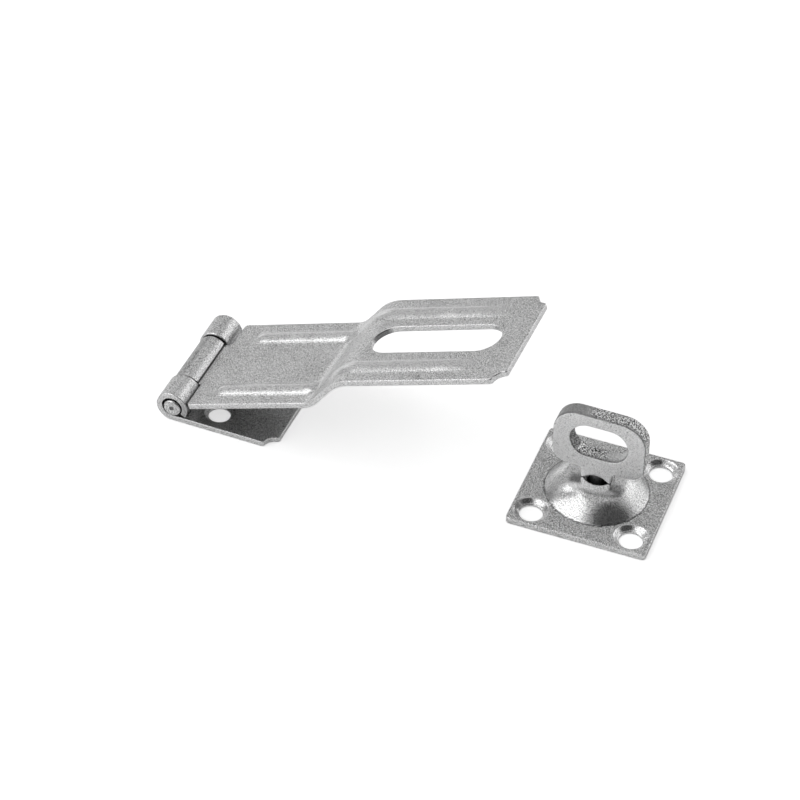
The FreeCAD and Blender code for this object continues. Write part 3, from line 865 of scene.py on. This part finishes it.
class HASP_OT_fixed_leaf(Operator):
    """Make the fixed leaf with its two knuckles and three countersunk holes"""

    bl_idname = "hasp.fixed_leaf"
    bl_label = "Fixed leaf"

    def execute(self, context):
        size = context.scene.hasp_sheets
        roll = size.leaf_bore + size.sheet / 2
        gap = math.asin((size.leaf_bore - ROLL_GAP) / (size.leaf_bore + size.sheet))
        moves = [("run", LEAF_LENGTH), ("bend", roll, -(THREE_QUARTERS + gap))]
        path, marks = folded_path((LEAF_LENGTH, PIN_DROP - roll), math.pi, moves)
        _, roll_start, roll_end = marks
        half = size.width / 2
        notch_s = LEAF_LENGTH - size.leaf_cutback
        notch_half = size.knuckle / 2 + KNUCKLE_GAP
        holes = [(LEAF_LENGTH - from_pin, y) for from_pin, y in LEAF_HOLES]

        def outline(s, y):
            """Sheet less the notch, the scoops and the screw holes."""
            sheet = rounded_box(s - roll_end / 2, y, roll_end / 2, half, SHEAR_CORNER)
            reach = roll_end - notch_s
            notch = rounded_box(s - notch_s - reach, y, reach, notch_half, NOTCH_CORNER)
            scoop = disc(s, np.abs(y), 0.0, half, size.scallop)
            body = smooth_max(sheet, -notch, -scoop)
            for hole_s, hole_y in holes:
                body = smooth_max(body, -disc(s, y, hole_s, hole_y, LEAF_HOLE))
            return body

        def upper(s, y):
            """Half the sheet less each countersink's depth."""
            height = np.full_like(s, size.sheet / 2)
            for hole_s, hole_y in holes:
                height -= sink(np.hypot(s - hole_s, y - hole_y), LEAF_SINK, LEAF_HOLE, LEAF_SINK_DEPTH)
            return height

        def place(s, y, height):
            """Middle line less its normal times the height."""
            x, z, nx, nz = path(s)
            return np.stack([PIN[0] + x - nx * height, PIN[1] + y, PIN[2] + z - nz * height], -1)

        rims = [lambda s, y, c=hole: disc(s, y, *c, LEAF_SINK) for hole in holes]
        s_lines = lines(marks, size.cell, moves)
        points, quads, where = cut_sheet(
            place, outline, s_lines, lines([-half, 0.0, half], size.cell),
            upper, lambda s, y: np.full_like(s, -size.sheet / 2),
            *LEAF_ROLLS, seed=5, creases=rims,
        )
        s = where["s"]
        rolled = LEAF_STREAKS * np.clip((s - roll_start) / LEAF_STREAKS_EASE, 0, 1)
        turned = (s - roll_start) / (roll_end - roll_start)
        # Painted shade on the leaf's upper face, under the strap
        recess = (where["side"] > 0) * np.where(s > roll_start, LEAF_ROLL_DARK, LEAF_FLAT_DARK)
        # Painted shade on the side of the knuckles that faces the strap
        recess = np.maximum(recess, np.interp(turned, *LEAF_ROLL_SHADE))
        # Painted highlight with a little wear polish, in a band along the top of the knuckles
        wear_sheen = LEAF_WEAR_SHEEN * np.exp(-(((turned - WEAR_SHEEN_LINE) / WEAR_SHEEN_WIDTH) ** 2))
        burnished = np.maximum(edge_shine(where), wear_sheen)
        make_piece(
            "fixed_leaf_sheet", "fixed_leaf", zinc_plate("leaf_zinc"), points, quads,
            rolled=rolled, burnished=burnished, recess=recess,
        )
        return {"FINISHED"}


class HASP_OT_pin(Operator):
    """Make the hinge pin with its chamfered, centre-marked ends"""

    bl_idname = "hasp.pin"
    bl_label = "Hinge pin"

    def execute(self, context):
        low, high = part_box("hinge_pin")
        radius = (high.z - low.z) / 2
        half = (high.y - low.y) / 2
        end = [
            (0.0, half - PIN_MARK_DEPTH),
            (PIN_MARK, half - PIN_MARK_LIP),
            (radius * PIN_FACE, half),
            (radius, half - PIN_CHAMFER),
        ]
        corners = [(across, -along) for across, along in end] + end[::-1]
        points, quads = lathe(rounded_profile(corners, PIN_ROLLS), PIN, "Y", TURNED_SEGMENTS)
        from_axis = np.hypot(points[:, 0] - PIN[0], points[:, 2] - PIN[2])
        # Painted shade in the centre mark on the pin's ends
        recess = PIN_MARK_DARK * (from_axis < PIN_MARK * PIN_MARK_INSIDE)
        burnished = np.full(len(points), PIN_SHINE)
        zinc = zinc_plate("pin_zinc", satin=0.34)
        make_piece("pin", "hinge_pin", zinc, points, quads, recess=recess, burnished=burnished)
        return {"FINISHED"}


class HASP_OT_plate(Operator):
    """Make the staple's square plate, pressed up into a dome"""

    bl_idname = "hasp.plate"
    bl_label = "Staple plate"

    def execute(self, context):
        size = context.scene.hasp_staple
        half = size.side / 2
        rise = DOME_TOP - size.sheet
        drop = (DOME_RADIUS**2 - LAND_RADIUS**2 - rise**2) / (2 * rise)
        sphere = math.hypot(DOME_RADIUS, drop)
        centre = size.sheet - drop

        def from_hole(s, y):
            """Distance from the nearest screw hole's centre."""
            return np.hypot(np.abs(s) - PLATE_HOLE_STEP, np.abs(y) - PLATE_HOLE_STEP)

        def outline(s, y):
            """Square less its four screw holes and the shank's hole."""
            body = rounded_box(s, y, half, half, PLATE_CORNER)
            hole = from_hole(s, y) - PLATE_HOLE
            return smooth_max(body, -hole, -disc(s, y, 0.0, 0.0, SHANK_HOLE))

        def upper(s, y):
            """The lower of the ball and the land, or the sheet if that is higher, less the countersinks."""
            r = np.hypot(s, y)
            ball = centre + np.sqrt(np.maximum(sphere**2 - r**2, 0))
            dome = -smooth_max(-ball, np.full_like(r, -DOME_TOP), blend=LAND_EDGE)
            height = smooth_max(dome, np.full_like(r, size.sheet), blend=DOME_FOOT)
            height -= sink(r, LAND_SINK, SHANK_HOLE, LAND_SINK_DEPTH)
            return height - sink(from_hole(s, y), PLATE_SINK, PLATE_HOLE, PLATE_SINK_DEPTH)

        def lower(s, y):
            """A ball smaller by the dome's sheet, held between the floor and the land's underside."""
            r = np.hypot(s, y)
            ball = centre + np.sqrt(np.maximum((sphere - DOME_SHEET) ** 2 - r**2, 0))
            return np.clip(ball, 0.0, DOME_TOP - DOME_SHEET)

        def place(s, y, height):
            """The plate's own s, y and height, turned and moved to the staple's place."""
            return about(STAPLE_FOOT, size.plate_turn, np.stack([s, y, height], -1))

        rings = [
            lambda s, y: disc(s, y, 0.0, 0.0, DOME_RADIUS),
            lambda s, y: disc(s, y, 0.0, 0.0, LAND_SINK),
            lambda s, y: from_hole(s, y) - PLATE_SINK,
        ]
        grid = lines([-half, 0.0, half], size.cell)
        points, quads, where = cut_sheet(
            place, outline, grid, grid, upper, lower, *PLATE_ROLLS, seed=7, creases=rings
        )
        r = np.hypot(where["s"], where["y"])
        # The dome, the countersinks and the edges are marked as polished, which also lightens them as a
        # painted sheen
        dome = DOME_SHINE * (r < DOME_RADIUS - RIM_CLEAR)
        sinks = SINK_SHINE * (from_hole(where["s"], where["y"]) < PLATE_SINK + SINK_SHINE_PAST)
        burnished = np.maximum(np.maximum(dome, sinks), edge_shine(where))
        # Painted shade in a thin line round the dome's foot
        groove = GROOVE_DARK * (np.abs(r - DOME_RADIUS) < GROOVE_HALF_WIDTH)
        # Painted shade in the countersink seat round the shank
        seat = SEAT_DARK * (r < LAND_SINK - RIM_CLEAR)
        recess = np.maximum(groove, seat) * (where["side"] >= 0)
        zinc = zinc_plate("base_zinc", satin=0.36, grain=1.3)
        make_piece("staple_plate", "staple_base", zinc, points, quads, burnished=burnished, recess=recess)
        return {"FINISHED"}


class HASP_OT_eye(Operator):
    """Make the swivel eye with its neck, shank and riveted head"""

    bl_idname = "hasp.eye"
    bl_label = "Swivel eye"

    def execute(self, context):
        size = context.scene.hasp_staple
        half = size.eye_thickness / 2
        loop_half = (EYE_TOP - EYE_BOTTOM) / 2
        loop_middle = (EYE_TOP + EYE_BOTTOM) / 2
        arch = (ARCH_HALF_WIDTH**2 + ARCH_HEIGHT**2) / (2 * ARCH_HEIGHT)

        def outline(s, z):
            """Loop joined with the neck by a fillet, less the hole and the arched hollow at the foot."""
            corner = np.where(z > loop_middle, EYE_TOP_CORNER, EYE_BOTTOM_CORNER)
            loop = rounded_box(s, z - loop_middle, EYE_HALF_WIDTH, loop_half, corner)
            neck_half = (EYE_BOTTOM + NECK_OVERLAP - NECK_FOOT) / 2
            neck = rounded_box(s, z - NECK_FOOT - neck_half, NECK_HALF_WIDTH, neck_half, SHEAR_CORNER)
            body = -smooth_max(-loop, -neck, blend=NECK_FILLET)
            reach = EYE_HOLE_LENGTH / 2
            hole = stadium(s, z - EYE_HOLE_CENTRE, -reach, reach, EYE_HOLE_HEIGHT)
            hollow = disc(s, z, 0.0, NECK_FOOT + ARCH_HEIGHT - arch, arch)
            return smooth_max(body, -hole, -hollow)

        def place(s, z, height):
            """The flat eye stood upright, leaning by its height above its bottom, and turned."""
            leaning = s - np.maximum(z - EYE_BOTTOM, 0) * math.tan(size.eye_lean)
            return about(STAPLE_FOOT, size.eye_turn, np.stack([leaning, -height, z], -1))

        s_lines = lines([-EYE_HALF_WIDTH, 0.0, EYE_HALF_WIDTH], size.cell)
        z_lines = lines([NECK_FOOT, loop_middle, EYE_TOP], size.cell)
        points, quads, where = cut_sheet(
            place, outline, s_lines, z_lines,
            lambda s, z: np.full_like(s, half), lambda s, z: np.full_like(s, -half),
            *EYE_ROLLS, seed=11, ragged=EYE_RAGGED,
        )
        s, wall = where["s"], where["wall"]
        from_hole = np.hypot(s / EYE_HOLE_LENGTH, (where["y"] - EYE_HOLE_CENTRE) / EYE_HOLE_HEIGHT)
        in_hole = from_hole < HOLE_SHARE
        hole_torn = (HOLE_TORN_FROM - s) / HOLE_TORN_FADE
        rim_torn = (s - RIM_TORN_FROM) / RIM_TORN_FADE
        broken = np.clip(np.where(in_hole, hole_torn, rim_torn), 0.0, 1.0)
        # Painted shade on the eye's hole wall, its outer wall and its rounded edges
        hole_shade = HOLE_DARK + HOLE_SIDE_DARK * (s < HOLE_SHADED_FROM)
        rim_shade = RIM_DARK + RIM_SMOOTH_DARK * (1 - broken)
        shade = np.maximum(wall * np.where(in_hole, hole_shade, rim_shade), EDGE_DARK * (wall == ROUNDED))
        low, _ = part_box("swivel_eye")
        rivet_top = low.z + RIVET_HEIGHT
        corners = [(0.0, low.z), (RIVET, low.z), (RIVET, rivet_top)]
        corners += [(SHANK, rivet_top), (SHANK, SHANK_TOP), (0.0, SHANK_TOP)]
        profile = rounded_profile(corners, RIVET_ROLLS)
        shank, shank_quads = lathe(profile, STAPLE_FOOT, "Z", SHANK_SEGMENTS)
        torn = np.concatenate([wall * broken, np.zeros(len(shank))])
        # The shank and the rivet head carry the seat's painted shade all over
        recess = np.concatenate([shade, np.full(len(shank), SEAT_DARK)])
        quads = np.concatenate([quads, shank_quads + len(points)])
        points = np.concatenate([points, shank])
        # Painted light: the eye's colour is lifted by 1.28 to stand in for the light its faces catch
        zinc = zinc_plate("eye_zinc", satin=0.42, grain=0.5, painted_brightness=1.28)
        make_piece("eye", "swivel_eye", zinc, points, quads, torn=torn, recess=recess)
        return {"FINISHED"}


class HASP_OT_washer(Operator):
    """Make the washer under the dome"""

    bl_idname = "hasp.washer"
    bl_label = "Washer"

    def execute(self, context):
        low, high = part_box("washer")
        outer = (high.x - low.x) / 2
        inner = SHANK + WASHER_PLAY
        seam = (inner, low.z + WASHER_SEAM)
        corners = [seam, (inner, low.z), (outer, low.z), (outer, high.z), (inner, high.z), seam]
        profile = rounded_profile(corners, WASHER_ROLLS)
        points, quads = lathe(profile, STAPLE_FOOT, "Z", TURNED_SEGMENTS)
        make_piece("washer_ring", "washer", zinc_plate("washer_zinc", satin=0.34), points, quads)
        return {"FINISHED"}


# Stage


def area_light(name, place, aim, size, power):
    """Soft square lamp at a place, facing a point."""
    lamp = bpy.data.lights.new(name, "AREA")
    lamp.size = size
    lamp.energy = power
    holder = bpy.data.objects.new(name, lamp)
    holder.location = place
    holder.rotation_euler = (Vector(aim) - Vector(place)).to_track_quat("-Z", "Y").to_euler()
    bpy.context.scene.collection.objects.link(holder)


def sky_patch(tree, where, direction, reach, blend):
    """1 within reach of a direction of the sky, in degrees, easing to 0 over the blend beyond it.

    It is the cosine between the ray and the direction, carried from the cosines of those two angles.
    """
    dot = tree.nodes.new("ShaderNodeVectorMath")
    dot.operation = "DOT_PRODUCT"
    dot.inputs[1].default_value = Vector(direction).normalized()
    tree.links.new(where, dot.inputs[0])
    outer = math.cos(math.radians(reach + blend))
    inner = math.cos(math.radians(reach))
    return Field(tree, dot.outputs["Value"]).ranged(outer, inner, 0.0, 1.0)


WHITE = (1, 1, 1, 1)
LIGHT_TENT = 0.62

# Each softbox: its direction, its reach and blend in degrees, and its strength
SOFTBOXES = (
    ((-0.64, -0.42, 0.64), 28.0, 8.0, 1.15),
    ((0.60, 0.70, 0.38), 20.0, 9.0, 0.55),
    ((0.40, 0.72, 0.57), 8.0, 8.0, 0.3),
    ((-0.705, 0.705, 0.06), 5.0, 6.0, 0.5),
)
CAMERA_OPENING = ((0.67, -0.47, 0.57), 33.0, 9.0)
OPENING_DARK = 0.85


def studio_world():
    """Light tent with softboxes on the left, behind on the right and low behind, and a dark opening.

    Its strength is the softboxes' sum plus the tent's, times one less the opening's darkness. The
    camera itself sees white.
    """
    world = bpy.data.worlds.new("studio")
    bpy.context.scene.world = world
    world.use_nodes = True
    tree = world.node_tree
    tree.nodes.clear()
    output = tree.nodes.new("ShaderNodeOutputWorld")
    seen = fill(tree.nodes.new("ShaderNodeBackground"), Color=WHITE)
    tent = tree.nodes.new("ShaderNodeBackground")
    where = tree.nodes.new("ShaderNodeTexCoord").outputs["Generated"]
    lit = [sky_patch(tree, where, *patch) * strength for *patch, strength in SOFTBOXES]
    level = sum(lit[1:], lit[0]) + LIGHT_TENT
    level = level * (sky_patch(tree, where, *CAMERA_OPENING) * -OPENING_DARK + 1.0)
    level.into(tent.inputs["Strength"])
    mix = tree.nodes.new("ShaderNodeMixShader")
    tree.links.new(tree.nodes.new("ShaderNodeLightPath").outputs["Is Camera Ray"], mix.inputs["Fac"])
    tree.links.new(tent.outputs["Background"], mix.inputs[1])
    tree.links.new(seen.outputs["Background"], mix.inputs[2])
    tree.links.new(mix.outputs["Shader"], output.inputs["Surface"])


FLOOR_PAINT = {
    "Base Color": (0.9, 0.9, 0.9, 1),
    "Roughness": 1.0,
    "Specular IOR Level": 0.0,
    "Emission Color": WHITE,
}
FLOOR_TO_CAMERA = 0.55
FLOOR_IN_REFLECTIONS = 0.08


def floor_material():
    """White floor, lifted a little for the camera and for reflections so that its shadows stay pale.

    Its own light is the camera's ray times one share plus a reflected ray times the other.
    """
    material = bpy.data.materials.new("floor_white")
    material.use_nodes = True
    tree = material.node_tree
    shader = fill(tree.nodes["Principled BSDF"], **FLOOR_PAINT)
    ray = tree.nodes.new("ShaderNodeLightPath").outputs
    direct = Field(tree, ray["Is Camera Ray"]) * FLOOR_TO_CAMERA
    mirrored = Field(tree, ray["Is Glossy Ray"]) * FLOOR_IN_REFLECTIONS
    (direct + mirrored).into(shader.inputs["Emission Strength"])
    return material


FLOOR_REACH = 6.0
KEY_PLACE = (-0.45, 0.1, 0.8)
KEY_SIZE = 0.5
KEY_POWER = 1.0
SENSOR_WIDTH = 36.0
FAR_CLIP = 50.0


def camera_axes(azimuth, elevation, roll):
    """The camera's right, up and back as rows.

    Back is the azimuth's sine and less its cosine, both times the elevation's cosine, and the
    elevation's sine. Right is level, up is square to both, and the roll turns them about back.
    """
    flat = math.cos(elevation)
    back = Vector((math.sin(azimuth) * flat, -math.cos(azimuth) * flat, math.sin(elevation)))
    right = (-back).cross(Vector((0, 0, 1))).normalized()
    up = right.cross(-back)
    c, k = math.cos(roll), math.sin(roll)
    return Matrix((right * c + up * k, up * c - right * k, back))


class HASP_OT_stage(Operator):
    """Make the floor, the lights and the camera"""

    bl_idname = "hasp.stage"
    bl_label = "Stage"

    def execute(self, context):
        stage = context.scene.hasp_stage
        far = FLOOR_REACH
        mesh = bpy.data.meshes.new("floor")
        corners = [(-far, -far, 0), (far, -far, 0), (far, far, 0), (-far, far, 0)]
        mesh.from_pydata(corners, [], [(0, 1, 2, 3)])
        mesh.materials.append(floor_material())
        floor = bpy.data.objects.new("floor", mesh)
        context.scene.collection.objects.link(floor)
        studio_world()
        target = Vector(stage.look_at)
        area_light("key", KEY_PLACE, target, KEY_SIZE, KEY_POWER)
        camera_data = bpy.data.cameras.new("camera")
        camera_data.lens = stage.lens
        camera_data.sensor_width = SENSOR_WIDTH
        camera_data.clip_end = FAR_CLIP
        camera = bpy.data.objects.new("camera", camera_data)
        axes = camera_axes(stage.azimuth, stage.elevation, stage.roll)
        back = axes[2] * stage.distance
        camera.matrix_world = Matrix.Translation(target + back) @ axes.transposed().to_4x4()
        context.scene.collection.objects.link(camera)
        context.scene.camera = camera
        context.scene.view_settings.view_transform = "Standard"
        return {"FINISHED"}


class HASP_PT_panel(Panel):
    """Buttons for every piece of the hasp"""

    bl_idname = "HASP_PT_panel"
    bl_label = "Swivel hasp"
    bl_space_type = "VIEW_3D"
    bl_region_type = "UI"
    bl_category = "Hasp"

    def draw(self, context):
        for operator in OPERATORS:
            self.layout.operator(operator.bl_idname)


OPERATORS = (
    HASP_OT_fixed_leaf,
    HASP_OT_pin,
    HASP_OT_strap,
    HASP_OT_plate,
    HASP_OT_washer,
    HASP_OT_eye,
    HASP_OT_stage,
)
SETTINGS = {
    "hasp_sheets": HaspSheetSettings,
    "hasp_staple": HaspStapleSettings,
    "hasp_finish": HaspFinishSettings,
    "hasp_stage": HaspStageSettings,
}


def register():
    """Registers the settings, then the operators and the panel."""
    for name, group in SETTINGS.items():
        bpy.utils.register_class(group)
        setattr(bpy.types.Scene, name, PointerProperty(type=group))
    for thing in (*OPERATORS, HASP_PT_panel):
        bpy.utils.register_class(thing)


def unregister():
    """Takes away what register added, in the opposite order."""
    for thing in (HASP_PT_panel, *reversed(OPERATORS)):
        bpy.utils.unregister_class(thing)
    for name, group in reversed(SETTINGS.items()):
        delattr(bpy.types.Scene, name)
        bpy.utils.unregister_class(group)


def main():
    register()
    for operator in OPERATORS:
        family, action = operator.bl_idname.split(".")
        getattr(getattr(bpy.ops, family), action)()


if __name__ == "__main__":
    main()
